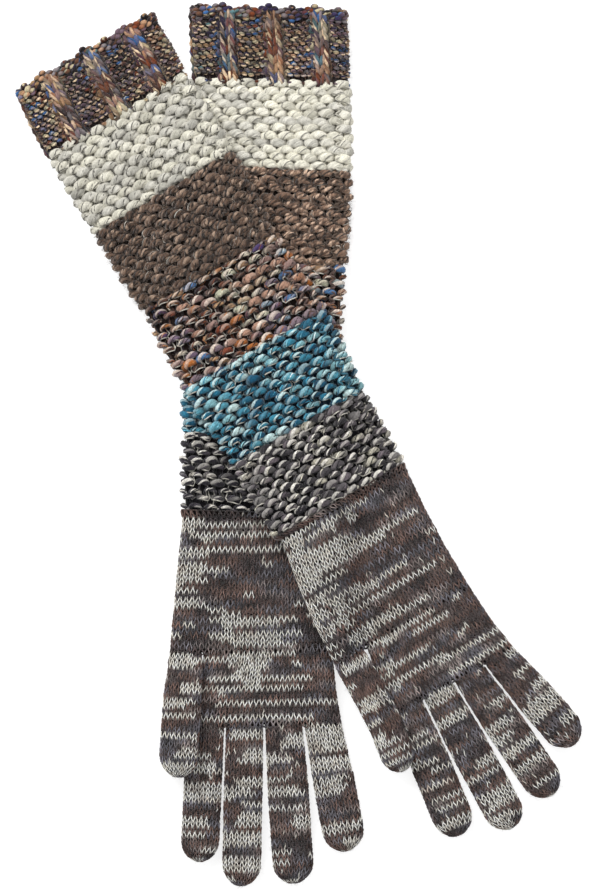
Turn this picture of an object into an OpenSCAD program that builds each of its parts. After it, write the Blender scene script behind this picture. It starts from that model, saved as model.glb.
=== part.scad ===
// A pair of long knitted gloves lying flat, the upper one across the lower one.
// +Z is up, and the gloves' mouths point along +Y. The floor is at Z = 0.

/* [Pair] */
// Angle between the upper glove and the Y axis, in degrees
top_tilt = 30; // [28:0.5:31]
// Lift of the upper glove where it lies on the lower one
drape_lift = 13.7; // [13.5:0.1:16]
// Length over which the upper glove sags down beside the lower one
drape_run = 24; // [20:1:30]

/* [Sleeve] */
// Thickness of a sleeve lying flat, both layers
sleeve_t = 13; // [12:0.5:13]
// Thickness of the bulky knit
sleeve_wall = 3; // [2:0.5:3.5]
// Length of the bind-off edge
edge_len = 4; // [3:0.5:6]

/* [Hand] */
// Thickness of the hand lying flat, both layers
hand_t = 11; // [10:0.5:11]
// Thickness of a finger lying flat, both layers
finger_t = 10.5; // [9.5:0.5:10.5]
// Thickness of the fine knit
hand_wall = 2.2; // [1.5:0.1:2.4]
// Distance from the wrist seam to the thumb's root
thumb_v = 84; // [82:1:86]
// Distance from the wrist seam to the fingers' roots
roots_v = 128; // [126:1:130]
// Distance from the wrist seam to the line where the fingers bend
knuckle_v = 165; // [163:1:167]
// Gap left where one piece folds against the next
fold_gap = 0.4; // [0.3:0.1:0.6]

/* [Hidden] */
top = 0;
bottom = 1;
kinds = ["bind_off_edge", "cuff", "cream_band", "brown_band", "multicolour_band", "teal_band",
    "grey_band", "side_seam", "wrist_seam", "hand_heel", "palm", "thumb",
    "index_base", "middle_base", "ring_base", "little_base",
    "index_tip", "middle_tip", "ring_tip", "little_tip"];

// Each list that follows holds the upper glove's values, then the lower glove's.
// The middle of the wrist seam in the floor plan
wrist = [[24.6, -32], [-27.1, -39.3]];
// Angles of the sleeve and of the hand from the Y axis
sleeve_tilt = [top_tilt, -1.7];
hand_tilt = [top_tilt, 1];
// Sleeve outline: [distance from the wrist seam, left edge, right edge] at the ends of each band
sleeve_edges = [
    [[0, -47, 46], [50, -46.5, 47], [103, -49.5, 51], [157, -47.5, 47.5], [212, -49.5, 51],
        [267, -50, 49.5], [309, -47, 50]],
    [[0, -45, 47], [46, -45.5, 47], [96, -46, 50.5], [149, -48, 52.5], [206, -49, 54],
        [259, -44.5, 51.5], [302, -48, 48]]];
// Hand outline below the thumb: [distance from the wrist seam, left edge, right edge]
heel_edges = [
    [[3, -42.5, 44.5], [28, -47, 42.5], [55, -50.5, 41.5], [84, -52.5, 42]],
    [[3, -43.5, 45], [28, -46.5, 44.5], [55, -49.5, 44.5], [84, -52.5, 46]]];
// Hand outline above the thumb's root; past the fingers' roots its right edge is the little finger's
palm_edges = [
    [[84, -30.5, 42], [95, -32.5, 42.5], [110, -36, 43.5], [128, -37.5, 46.5]],
    [[84, -31.5, 46], [95, -34, 47], [107, -38, 48], [128, -43, 51], [150, -45, 57], [190, -46, 62]]];
// Thumb: [distance from the wrist seam, middle, half width, height of the middle, roll]
thumb_line = [
    [[84.4, -42.5, 10.2, 5.6, 4], [95, -42.5, 11.5, 9.6, 28], [107, -42.5, 12.5, 11, 40],
        [131, -43.8, 12.5, 11.4, 40], [147, -46.3, 12.5, 11.4, 40], [160, -47.5, 12.5, 11.4, 40]],
    [[84.4, -42.5, 10.2, 5.6, 4], [95, -43, 11.5, 10.5, 20], [107, -44.5, 12.5, 13.4, 25],
        [127, -46, 12.8, 13.4, 25], [144, -47.5, 12.8, 13.4, 25], [158, -47.5, 12.8, 13.4, 25]]];
// Fingers from index to little: [middle of the tip, distance of the tip from the wrist seam]
finger_tips = [
    [[-38.3, 211], [-8.5, 223], [22, 218], [49.5, 198]],
    [[-36.5, 210], [-11.5, 225], [20.5, 224], [52.5, 205]]];
// Half width of each finger from its bend to its tip
finger_half = [[12.5, 12.2, 12.2, 12.4], [11.9, 12.1, 12.8, 13]];

band_bulge = 0.8;      // each band is this much wider at its middle than at its ends
seam_len = 3;          // length of the wrist seam
seam_size = 1.4;       // half the width of the seam's ridge inside the sleeve
tip_round = 13;        // length of the rounded end of a digit
arc_steps = 4;         // straight pieces in each rounded side of a section
wide_steps = 9;        // straight pieces across a sleeve or a hand
narrow_steps = 2;      // straight pieces across a digit
side_gap = 0.2;        // half the gap between neighbouring fingers

function smooth(t) = let (k = min(1, max(0, t))) k * k * (3 - 2 * k);
function column(table, c, at) = lookup(at, [for (row = table) [row[0], row[c]]]);
function turned(p, angle) = [p.x * cos(angle) - p.y * sin(angle), p.x * sin(angle) + p.y * cos(angle)];

// Places in the floor plan, from a place across the glove and a distance from its wrist seam
function on_sleeve(g, across, s) = wrist[g] + turned([across, s], sleeve_tilt[g]);
function on_hand(g, across, v) = wrist[g] + turned([across, -v], hand_tilt[g]);

// Edge of the lower glove (1 left, 2 right) at a place along Y, and the upper glove's lift over it
function lower_edge(side, y) =
    let (s = y - wrist[bottom].y)
    s > 0
        ? wrist[bottom].x - s * tan(sleeve_tilt[bottom]) + column(sleeve_edges[bottom], side, s)
        : wrist[bottom].x - s * tan(hand_tilt[bottom])
            + (-s < thumb_v ? column(heel_edges[bottom], side, -s) : column(palm_edges[bottom], side, -s));
function lift(g, p) =
    g == bottom ? 0
        : let (outside = max(lower_edge(1, p.y) - p.x, p.x - lower_edge(2, p.y)))
        drape_lift * (1 - smooth(outside / drape_run));

// A flat section with rounded sides, as [across, up] points, anticlockwise seen from the mouth's side
function section(half, r, steps) = concat(
    [for (i = [0:arc_steps]) let (a = -90 + 180 * i / arc_steps) [half - r + r * cos(a), r * sin(a)]],
    [for (i = [1:steps - 1]) [(half - r) * (1 - 2 * i / steps), r]],
    [for (i = [0:arc_steps]) let (a = 90 + 180 * i / arc_steps) [r - half + r * cos(a), r * sin(a)]],
    [for (i = [1:steps - 1]) [(half - r) * (2 * i / steps - 1), -r]]);

// A ring of points: st is [middle in the floor plan, angle, half width, half thickness, height, roll],
// and inset draws it in by the wall
function ring(g, st, steps, inset = 0) = [
    for (q = section(st[2] - inset, st[3] - inset, steps))
        let (r = turned(q, st[5]), p = st[0] + turned([r.x, 0], st[1])) [p.x, p.y, st[4] + r.y + lift(g, p)]];

// Stations on the sleeve, the hand and the thumb
function sleeve_station(g, s, bulge = 0) =
    let (l = column(sleeve_edges[g], 1, s) - bulge, r = column(sleeve_edges[g], 2, s) + bulge)
    [on_sleeve(g, (l + r) / 2, s), sleeve_tilt[g], (r - l) / 2, sleeve_t / 2, sleeve_t / 2, 0];
function hand_station(g, edges, v) =
    let (l = column(edges[g], 1, v), r = column(edges[g], 2, v))
    [on_hand(g, (l + r) / 2, v), hand_tilt[g], (r - l) / 2, hand_t / 2, hand_t / 2, 0];
function thumb_station(g, v, t = 0) =
    let (line = thumb_line[g], thin = 1 - 0.35 * t * t)
    [on_hand(g, column(line, 1, v), v), hand_tilt[g],
        column(line, 2, v) * sqrt(1 - t * t), finger_t / 2 * thin, column(line, 3, v), column(line, 4, v)];

// Finger roots share the palm's end evenly; a finger's stations turn towards its own direction
function root_width(g) = (palm_edges[g][3][2] - palm_edges[g][3][1]) / 4;
function finger_root(g, f) = [palm_edges[g][3][1] + root_width(g) * (f + 0.5), roots_v];
function finger_lean(g, f) =
    let (d = finger_tips[g][f] - finger_root(g, f)) atan2(d.x, d.y);
function finger_place(g, f, v) =
    let (a = finger_root(g, f), b = finger_tips[g][f], k = (v - a.y) / (b.y - a.y)) a + (b - a) * k;
function finger_station(g, f, v, half, turn = 1, t = 0) =
    let (p = finger_place(g, f, v), thin = finger_t / 2 * (1 - 0.35 * t * t))
    [on_hand(g, p.x, p.y), hand_tilt[g] + finger_lean(g, f) * turn, half * sqrt(1 - t * t), thin, thin, 0];

// One closed solid between an outer and an inner skin, each a list of rings from the mouth's side
// on. An open tube has a flat end at both ends; a closed one has its skins capped at the far end.
function quads(start, n, rings, flip) = [
    for (k = [0:rings - 2]) for (i = [0:n - 1])
        let (a = start + k * n + i, b = start + k * n + (i + 1) % n)
        flip ? [a, a + n, b + n, b] : [a, b, b + n, a + n]];
function annulus(outer, inner, n, flip) = [
    for (i = [0:n - 1])
        let (j = (i + 1) % n)
        flip ? [outer + i, outer + j, inner + j, inner + i] : [outer + i, inner + i, inner + j, outer + j]];
module tube(outer, inner, closed = false) {
    n = len(outer[0]);
    inner_start = len(outer) * n;
    outer_end = inner_start - n;
    inner_end = inner_start + (len(inner) - 1) * n;
    points = [for (r = outer) each r, for (r = inner) each r];
    caps = closed
        ? [[for (i = [0:n - 1]) outer_end + n - 1 - i], [for (i = [0:n - 1]) inner_end + i]]
        : annulus(outer_end, inner_end, n, false);
    polyhedron(points, concat(
        quads(0, n, len(outer), true),
        quads(inner_start, n, len(inner), false),
        annulus(0, inner_start, n, true),
        caps));
}

// A tube through stations, hollow all the way
module open_tube(g, stations, steps, wall)
    tube([for (st = stations) ring(g, st, steps)], [for (st = stations) ring(g, st, steps, wall)]);

// A band of the sleeve between two of its outline's stations, from the mouth's side on
module band(g, from, to, head_gap = 0) {
    s0 = from - head_gap;
    middle = [for (k = [1:3]) sleeve_station(g, s0 + (to - s0) * k / 4, band_bulge * sin(45 * k))];
    open_tube(g, concat([sleeve_station(g, s0)], middle, [sleeve_station(g, to)]), wide_steps, sleeve_wall);
}
function band_end(g, i) = sleeve_edges[g][i][0];

module bind_off_edge(g) color("rosybrown")
    open_tube(g, [for (s = [band_end(g, 6), band_end(g, 6) - edge_len]) sleeve_station(g, s)],
        wide_steps, sleeve_wall);
module cuff(g) color("tan") band(g, band_end(g, 6) - edge_len, band_end(g, 5) + fold_gap);
module cream_band(g) color("cornsilk") band(g, band_end(g, 5), band_end(g, 4));
module brown_band(g) color("dimgray") band(g, band_end(g, 4), band_end(g, 3));
module multicolour_band(g) color("thistle") band(g, band_end(g, 3), band_end(g, 2));
module teal_band(g) color("teal") band(g, band_end(g, 2), band_end(g, 1));
module grey_band(g) color("gray") band(g, band_end(g, 1), 0);

// Ridge of the seam inside the sleeve's right side, from the cuff to the wrist
function seam_ring(g, s) =
    let (across = column(sleeve_edges[g], 2, s) - sleeve_wall - 2.2 * seam_size)
    let (middle = on_sleeve(g, across, s))
    [for (q = [[1, -1], [1, 1], [-1, 1], [-1, -1]])
        let (p = middle + turned([q.x * seam_size, 0], sleeve_tilt[g]))
        [p.x, p.y, sleeve_t / 2 + q.y * seam_size + lift(g, p)]];
module side_seam(g) color("darkslategray") {
    start = band_end(g, 5) - 1;
    rings = [for (k = [0:16]) seam_ring(g, start - (start - 1) * k / 16)];
    last = (len(rings) - 1) * 4;
    polyhedron([for (r = rings) each r], concat(quads(0, 4, len(rings), true),
        [[0, 1, 2, 3]], [[last + 3, last + 2, last + 1, last]]));
}

// The fine knit is sewn into the sleeve's end here, and the tube draws in
module wrist_seam(g) color("slategray")
    open_tube(g, [sleeve_station(g, 0), hand_station(g, heel_edges, seam_len)], wide_steps, hand_wall);
module hand_heel(g) color("darkslategray") {
    start = seam_len + (g == top ? fold_gap : 0);
    open_tube(g, [for (v = [start, 16, 28, 42, 55, 70, thumb_v]) hand_station(g, heel_edges, v)],
        wide_steps, hand_wall);
}
module palm(g) color("darkslategray")
    open_tube(g, [for (v = [thumb_v, 90, 95, 102, 110, 119, roots_v]) hand_station(g, palm_edges, v)],
        wide_steps, hand_wall);

// A closed digit: stations along its straight part, then a rounded end; the inner skin stops short
round_stops = [0.35, 0.65, 0.85, 0.95];
inner_stops = [0.3, 0.6, 0.75];
module thumb(g) color("slategray") {
    tip = thumb_line[g][5][0];
    straight = [thumb_v + fold_gap, 89, 95, 101, 107, 119, 131, tip - tip_round];
    outer = concat([for (v = straight) thumb_station(g, v)],
        [for (t = round_stops) thumb_station(g, tip - tip_round * (1 - t), t)]);
    inner = concat([for (v = straight) thumb_station(g, v)],
        [for (t = inner_stops) thumb_station(g, tip - tip_round * (1 - t), t)]);
    tube([for (st = outer) ring(g, st, narrow_steps)],
        [for (st = inner) ring(g, st, narrow_steps, hand_wall)], true);
}
module finger_base(g, f) color("slategray") {
    half = root_width(g) / 2 - side_gap;
    stops = [0, 0.35, 0.7, 1];
    open_tube(g, [for (k = stops) finger_station(g, f, roots_v + (knuckle_v - roots_v) * k,
        half + (finger_half[g][f] - half) * k, k)], narrow_steps, hand_wall);
}
module finger_tip(g, f) color("darkslategray") {
    tip = finger_tips[g][f].y;
    bend = knuckle_v + fold_gap;
    half = finger_half[g][f];
    straight = [bend, (bend + tip - tip_round) / 2, tip - tip_round];
    outer = concat([for (v = straight) finger_station(g, f, v, half)],
        [for (t = round_stops) finger_station(g, f, tip - tip_round * (1 - t), half, 1, t)]);
    inner = concat([for (v = straight) finger_station(g, f, v, half)],
        [for (t = inner_stops) finger_station(g, f, tip - tip_round * (1 - t), half, 1, t)]);
    tube([for (st = outer) ring(g, st, narrow_steps)],
        [for (st = inner) ring(g, st, narrow_steps, hand_wall)], true);
}

bind_off_edge(top);  // top_bind_off_edge
cuff(top);  // top_cuff
cream_band(top);  // top_cream_band
brown_band(top);  // top_brown_band
multicolour_band(top);  // top_multicolour_band
teal_band(top);  // top_teal_band
grey_band(top);  // top_grey_band
side_seam(top);  // top_side_seam
wrist_seam(top);  // top_wrist_seam
hand_heel(top);  // top_hand_heel
palm(top);  // top_palm
thumb(top);  // top_thumb
finger_base(top, 0);  // top_index_base
finger_base(top, 1);  // top_middle_base
finger_base(top, 2);  // top_ring_base
finger_base(top, 3);  // top_little_base
finger_tip(top, 0);  // top_index_tip
finger_tip(top, 1);  // top_middle_tip
finger_tip(top, 2);  // top_ring_tip
finger_tip(top, 3);  // top_little_tip
bind_off_edge(bottom);  // bottom_bind_off_edge
cuff(bottom);  // bottom_cuff
cream_band(bottom);  // bottom_cream_band
brown_band(bottom);  // bottom_brown_band
multicolour_band(bottom);  // bottom_multicolour_band
teal_band(bottom);  // bottom_teal_band
grey_band(bottom);  // bottom_grey_band
side_seam(bottom);  // bottom_side_seam
wrist_seam(bottom);  // bottom_wrist_seam
hand_heel(bottom);  // bottom_hand_heel
palm(bottom);  // bottom_palm
thumb(bottom);  // bottom_thumb
finger_base(bottom, 0);  // bottom_index_base
finger_base(bottom, 1);  // bottom_middle_base
finger_base(bottom, 2);  // bottom_ring_base
finger_base(bottom, 3);  // bottom_little_base
finger_tip(bottom, 0);  // bottom_index_tip
finger_tip(bottom, 1);  // bottom_middle_tip
finger_tip(bottom, 2);  // bottom_ring_tip
finger_tip(bottom, 3);  // bottom_little_tip
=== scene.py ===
import math
from collections import namedtuple

import bpy
import numpy as np
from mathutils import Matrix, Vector


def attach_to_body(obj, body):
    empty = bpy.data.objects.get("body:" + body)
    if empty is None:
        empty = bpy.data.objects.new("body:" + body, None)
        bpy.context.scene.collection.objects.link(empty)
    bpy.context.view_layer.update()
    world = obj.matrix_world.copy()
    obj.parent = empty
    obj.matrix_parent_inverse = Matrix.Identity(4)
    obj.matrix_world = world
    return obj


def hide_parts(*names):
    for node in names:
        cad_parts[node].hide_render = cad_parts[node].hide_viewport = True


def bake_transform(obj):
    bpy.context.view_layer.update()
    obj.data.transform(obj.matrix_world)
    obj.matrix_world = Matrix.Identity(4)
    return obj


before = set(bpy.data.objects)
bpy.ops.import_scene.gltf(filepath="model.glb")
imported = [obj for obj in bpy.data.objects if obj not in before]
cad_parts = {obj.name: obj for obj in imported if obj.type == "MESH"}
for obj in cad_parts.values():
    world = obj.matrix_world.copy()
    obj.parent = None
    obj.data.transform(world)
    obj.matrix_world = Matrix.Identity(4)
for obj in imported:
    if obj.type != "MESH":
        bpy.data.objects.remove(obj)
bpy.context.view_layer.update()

rng = np.random.default_rng(11)
TOP, BOTTOM = 0, 1
GLOVES = ("top_", "bottom_")
MM = 0.001


# ---------------------------------------------------------------- camera and light
# The camera looks straight down on VIEW_MIDDLE and sees VIEW_HEIGHT of the table, in metres
VIEW_HEIGHT, VIEW_MIDDLE, VIEW_LEVEL = 0.534, (-0.0014, 0.0009), 0.013


def make_camera():
    data = bpy.data.cameras.new("camera")
    data.lens, data.sensor_width, data.clip_end = 150, 36, 20
    cam = bpy.data.objects.new("camera", data)
    bpy.context.scene.collection.objects.link(cam)
    high = VIEW_HEIGHT * data.lens / data.sensor_width
    cam.location = (*VIEW_MIDDLE, VIEW_LEVEL + high)
    cam.rotation_euler = (0, 0, 0)
    bpy.context.scene.camera = cam


make_camera()


def make_light(name, size, power, place):
    data = bpy.data.lights.new(name, "AREA")
    data.shape, data.size, data.energy = "SQUARE", size, power
    light = bpy.data.objects.new(name, data)
    bpy.context.scene.collection.objects.link(light)
    light.location = place
    light.rotation_euler = (-Vector(place)).to_track_quat("-Z", "Y").to_euler()


make_light("key", 1.0, 30, (-0.7, 1.3, 1.25))
make_light("fill", 2.0, 8, (1.2, -0.9, 1.6))


# ---------------------------------------------------------------- the gloves' sizes, in mm
# s runs up a sleeve from the wrist, v down a hand from the wrist, and u across either to the right
DRAPE_LIFT, DRAPE_RUN = 13.7, 24.0  # the upper glove's rise over the lower one, and the slope's length
SLEEVE_T, HAND_T, FINGER_T = 13.0, 11.0, 10.5  # thicknesses
THUMB_V, ROOTS_V, KNUCKLE_V = 84.0, 128.0, 165.0
TIP_ROUND, SIDE_GAP, SEAM_LEN, BAND_BULGE = 13.0, 0.2, 3.0, 0.8
EDGE_LEN = 4  # the cast-off rim, at the mouth end of the cuff
WRIST = ((24.6, -32.0), (-27.1, -39.3))
SLEEVE_TILT, HAND_TILT = (30.0, -1.7), (30.0, 1.0)
# Each row is (s, left edge, right edge); the sleeve's rows stand where the bands change
SLEEVE = (
    ((0, -47, 46), (50, -46.5, 47), (103, -49.5, 51), (157, -47.5, 47.5), (212, -49.5, 51),
     (267, -50, 49.5), (309, -47, 50)),
    ((0, -45, 47), (46, -45.5, 47), (96, -46, 50.5), (149, -48, 52.5), (206, -49, 54),
     (259, -44.5, 51.5), (302, -48, 48)),
)
HEEL = (
    ((3, -42.5, 44.5), (28, -47, 42.5), (55, -50.5, 41.5), (84, -52.5, 42)),
    ((3, -43.5, 45), (28, -46.5, 44.5), (55, -49.5, 44.5), (84, -52.5, 46)),
)
PALM = (
    ((84, -30.5, 42), (95, -32.5, 42.5), (110, -36, 43.5), (128, -37.5, 46.5)),
    ((84, -31.5, 46), (95, -34, 47), (107, -38, 48), (128, -43, 51), (150, -45, 57), (190, -46, 62)),
)
# Each row is (v, middle u, half width, height, roll)
THUMB = (
    ((84.4, -42.5, 10.2, 5.6, 4), (95, -42.5, 11.5, 9.6, 28), (107, -42.5, 12.5, 11, 40),
     (131, -43.8, 12.5, 11.4, 40), (147, -46.3, 12.5, 11.4, 40), (160, -47.5, 12.5, 11.4, 40)),
    ((84.4, -42.5, 10.2, 5.6, 4), (95, -43, 11.5, 10.5, 20), (107, -44.5, 12.5, 13.4, 25),
     (127, -46, 12.8, 13.4, 25), (144, -47.5, 12.8, 13.4, 25), (158, -47.5, 12.8, 13.4, 25)),
)
TIPS = (  # (u, v) of each fingertip
    ((-38.3, 211), (-8.5, 223), (22, 218), (49.5, 198)),
    ((-36.5, 210), (-11.5, 225), (20.5, 224), (52.5, 205)),
)
FINGER_HALF = ((12.5, 12.2, 12.2, 12.4), (11.9, 12.1, 12.8, 13))
FINGERS = ("index", "middle", "ring", "little")
BANDS = ("grey_band", "teal_band", "multicolour_band", "brown_band", "cream_band", "cuff")


def column(table, c, at):
    t = np.array(table, float)
    return np.interp(at, t[:, 0], t[:, c])


def turned(x, y, angle):
    a = np.radians(angle)
    return x * np.cos(a) - y * np.sin(a), x * np.sin(a) + y * np.cos(a)


def on_sleeve(g, u, s):
    x, y = turned(u, s, SLEEVE_TILT[g])
    return WRIST[g][0] + x, WRIST[g][1] + y


def on_hand(g, u, v):
    x, y = turned(u, -v, HAND_TILT[g])
    return WRIST[g][0] + x, WRIST[g][1] + y


def lower_edge(side, y):
    s = y - WRIST[BOTTOM][1]
    tan = np.where(s > 0, math.tan(math.radians(SLEEVE_TILT[1])), math.tan(math.radians(HAND_TILT[1])))
    hand = np.where(-s < THUMB_V, column(HEEL[1], side, -s), column(PALM[1], side, -s))
    return WRIST[BOTTOM][0] - s * tan + np.where(s > 0, column(SLEEVE[1], side, s), hand)


def lift(g, x, y):
    if g == BOTTOM:
        return np.zeros_like(x)
    outside = np.maximum(lower_edge(1, y) - x, x - lower_edge(2, y))
    k = np.clip(outside / DRAPE_RUN, 0, 1)
    return DRAPE_LIFT * (1 - k * k * (3 - 2 * k))


# A station is (middle x, middle y, angle, half width, half thickness, height, roll)
def sleeve_station(g, s):
    ends = np.array([r[0] for r in SLEEVE[g]], float)
    i = np.clip(np.searchsorted(ends, s) - 1, 0, 5)
    share = np.clip((s - ends[i]) / (ends[i + 1] - ends[i]), 0, 1)
    bulge = BAND_BULGE * np.sin(math.pi * share)
    l, r = column(SLEEVE[g], 1, s) - bulge, column(SLEEVE[g], 2, s) + bulge
    x, y = on_sleeve(g, (l + r) / 2, s)
    half = SLEEVE_T / 2 + 0 * s
    return x, y, SLEEVE_TILT[g] + 0 * s, (r - l) / 2, half, half, 0 * s


def hand_station(g, table, v):
    l, r = column(table, 1, v), column(table, 2, v)
    x, y = on_hand(g, (l + r) / 2, v)
    half = HAND_T / 2 + 0 * v
    return x, y, HAND_TILT[g] + 0 * v, (r - l) / 2, half, half, 0 * v


def seam_station(g, v):
    k = np.clip(v / SEAM_LEN, 0, 1)
    a, b = sleeve_station(g, 0 * v), hand_station(g, HEEL[g], 0 * v + SEAM_LEN)
    return tuple(p + (q - p) * k for p, q in zip(a, b))


def rounded(v, tip):
    return np.clip((v - (tip - TIP_ROUND)) / TIP_ROUND, 0, 0.993)


def thumb_station(g, v):
    line = THUMB[g]
    t = rounded(v, line[-1][0])
    x, y = on_hand(g, column(line, 1, v), v)
    return (x, y, HAND_TILT[g] + 0 * v, column(line, 2, v) * np.sqrt(1 - t * t),
            FINGER_T / 2 * (1 - 0.35 * t * t), column(line, 3, v), column(line, 4, v))


def finger_station(g, f, v):
    root = (PALM[g][3][2] - PALM[g][3][1]) / 4
    ax, ay = PALM[g][3][1] + root * (f + 0.5), ROOTS_V
    bx, by = TIPS[g][f]
    lean = math.degrees(math.atan2(bx - ax, by - ay))
    k = (v - ay) / (by - ay)
    x, y = on_hand(g, ax + (bx - ax) * k, v)
    turn = np.clip((v - ROOTS_V) / (KNUCKLE_V - ROOTS_V), 0, 1)
    t = rounded(v, by)
    half = root / 2 - SIDE_GAP + (FINGER_HALF[g][f] - root / 2 + SIDE_GAP) * turn
    thin = FINGER_T / 2 * (1 - 0.35 * t * t)
    return x, y, HAND_TILT[g] + lean * turn, half * np.sqrt(1 - t * t), thin, thin, 0 * v


class Skin:
    """The middle layer of a knitted tube: f runs round it from the right edge over the top, s along it."""

    def __init__(self, g, station, s0, s1, inset):
        self.lo, self.hi = s0 - 9, s1 + 9
        self.nf, self.ns = 256, int((self.hi - self.lo) / 0.75) + 2
        f = np.linspace(0, 1, self.nf + 1)[None, :]
        s = np.linspace(self.lo, self.hi, self.ns)[:, None]
        x, y, angle, half, thick, height, roll = station(g, s)
        w = np.maximum(half - inset, 0.15)
        r = np.minimum(np.maximum(thick - inset, 0.15), w)
        flat, arc = 2 * (w - r), math.pi * r
        self.total = (2 * flat + 2 * arc)[:, 0]
        self.s = s[:, 0]
        d = f * (2 * flat + 2 * arc)
        q = arc / 2
        a1 = d / r
        a2 = math.pi / 2 + (d - q - flat) / r
        a3 = 1.5 * math.pi + (d - 3 * q - 2 * flat) / r
        on = [d < q, d < q + flat, d < 3 * q + flat, d < 3 * q + 2 * flat]
        lx = np.select(on, [w - r + r * np.cos(a1), w - r - (d - q), r - w + r * np.cos(a2),
                            r - w + (d - 3 * q - flat)], w - r + r * np.cos(a3))
        lz = np.select(on, [r * np.sin(a1), r + 0 * d, r * np.sin(a2), -r + 0 * d], r * np.sin(a3))
        nx = np.select(on, [np.cos(a1), 0 * d, np.cos(a2), 0 * d], np.cos(a3))
        nz = np.select(on, [np.sin(a1), 1 + 0 * d, np.sin(a2), -1 + 0 * d], np.sin(a3))
        rx, rz = turned(lx, lz, roll)
        ux, uz = turned(nx, nz, roll)
        ox, oy = turned(rx, 0, angle)
        px, py = x + ox, y + oy
        pos = np.stack([px, py, height + rz + lift(g, px, py)], -1)
        df = np.empty_like(pos)
        df[:, 1:-1] = pos[:, 2:] - pos[:, :-2]
        df[:, 0] = df[:, -1] = pos[:, 1] - pos[:, -2]
        ds = np.gradient(pos, axis=0)
        n = np.cross(df, ds)
        ex, ey = turned(ux, 0, angle)
        rough = np.stack([ex, ey, uz + 0 * ex], -1)
        n *= np.sign((n * rough).sum(-1, keepdims=True) + 1e-12)
        size = np.linalg.norm(n, axis=-1, keepdims=True)
        n = np.where(size > 1e-6, n / np.maximum(size, 1e-6), rough)
        self.grid = np.concatenate([pos, n], -1)

    def at(self, f, s, off=0.0):
        f, s = np.broadcast_arrays(np.mod(f, 1.0), s)
        i = np.clip((s - self.lo) / (self.hi - self.lo) * (self.ns - 1), 0, self.ns - 1.001)
        j = f * self.nf
        a, b = i.astype(int), np.minimum(j.astype(int), self.nf - 1)
        u, v = (i - a)[..., None], (j - b)[..., None]
        g = self.grid
        p = (g[a, b] * (1 - u) * (1 - v) + g[a + 1, b] * u * (1 - v)
             + g[a, b + 1] * (1 - u) * v + g[a + 1, b + 1] * u * v)
        n = p[..., 3:] / np.maximum(np.linalg.norm(p[..., 3:], axis=-1, keepdims=True), 1e-6)
        return p[..., :3] + n * np.asarray(off)[..., None], n

    def girth(self, s):
        return np.interp(s, self.s, self.total)


# ---------------------------------------------------------------- colours
def linear(c):
    c = np.asarray(c, float) / 255
    return np.where(c <= 0.04045, c / 12.92, ((c + 0.055) / 1.055) ** 2.4)


def noise_line(rows, count, knots, spread=1.0):
    """One smooth random line per row, closed round the tube: about normal with the given spread."""
    n = max(3, int(round(knots)))
    k = rng.normal(0, spread, (rows, n))
    x = np.arange(count) / count * n
    i = x.astype(int)
    t = x - i
    t = t * t * (3 - 2 * t)
    return k[:, i] * (1 - t) + k[:, (i + 1) % n] * t


def space_dyed(rows, count, knots, palette, weights=None, sharp=0.5):
    """Colours along each row's yarn: each run takes one of the palette and melts into the next."""
    pal = linear(palette)
    n = max(3, int(round(knots)))
    w = np.ones(len(pal)) if weights is None else np.array(weights, float)
    pick = rng.choice(len(pal), (rows, n), p=w / w.sum())
    k = pal[pick] * rng.uniform(0.88, 1.12, (rows, n, 1))
    x = np.arange(count) / count * n + np.zeros((rows, 1)) + rng.uniform(0, n, (rows, 1))
    x = np.mod(x, n)
    i = np.minimum(x.astype(int), n - 1)
    t = np.clip((x - i - sharp / 2) / (1 - sharp), 0, 1)
    t = (t * t * (3 - 2 * t))[..., None]
    r = np.arange(rows)[:, None]
    return k[r, i] * (1 - t) + k[r, (i + 1) % n] * t


MULTI = [(122, 102, 124), (144, 124, 134), (190, 148, 126), (162, 130, 100), (140, 66, 38),
         (190, 114, 54), (212, 210, 184), (88, 130, 178), (142, 164, 180), (76, 58, 108),
         (84, 60, 48), (164, 132, 124)]
MULTI_W = [3, 2.8, 2.2, 2.0, 1.3, 1.0, 2.0, 1.6, 1.2, 1.6, 1.0, 2.0]
RUST = [(150, 96, 52), (108, 58, 36), (74, 50, 42), (176, 140, 104), (56, 40, 42), (196, 186, 168)]
RUST_W = [2, 2, 2.4, 1.2, 2.4, 0.8]
TEAL = [(38, 116, 146), (56, 136, 162), (92, 164, 184), (146, 200, 208), (20, 84, 114), (204, 230, 228)]
TEAL_W = [3, 3.4, 2.4, 2.0, 2.6, 1.2]
GREY = [(74, 70, 74), (98, 92, 96), (134, 130, 128), (204, 198, 180), (50, 46, 52), (116, 106, 112)]
GREY_W = [2, 2.4, 2.4, 2.8, 1.4, 2.2]
INK = [(48, 44, 52), (70, 64, 72), (104, 100, 104), (196, 190, 178)]
INK_W = [3, 3, 1.4, 0.8]
CUFF = [(104, 70, 52), (118, 96, 108), (166, 130, 92), (194, 150, 116), (52, 42, 78), (62, 110, 168),
        (34, 26, 28), (210, 196, 160), (124, 62, 32), (80, 56, 54), (130, 122, 124), (100, 140, 144)]
CUFF_W = [2.6, 3.2, 1.5, 1.1, 1.5, 1.2, 3.4, 1.6, 1.6, 2.4, 1.8, 0.4]
CREAM = [(232, 228, 210), (222, 218, 202), (208, 205, 194)]
BROWN = [(124, 103, 88), (98, 78, 65), (72, 57, 48), (168, 146, 128), (44, 35, 30)]
BROWN_W = [3, 3, 2.2, 1.5, 1.6]
FINE = [(100, 78, 70), (98, 96, 103), (66, 54, 53), (124, 113, 110), (86, 66, 60), (50, 41, 42)]
FINE_W = [3, 2.4, 1.8, 1.6, 2, 1.4]
WHITE = linear((232, 227, 215))


# ---------------------------------------------------------------- meshes
REST = 0.5


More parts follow.
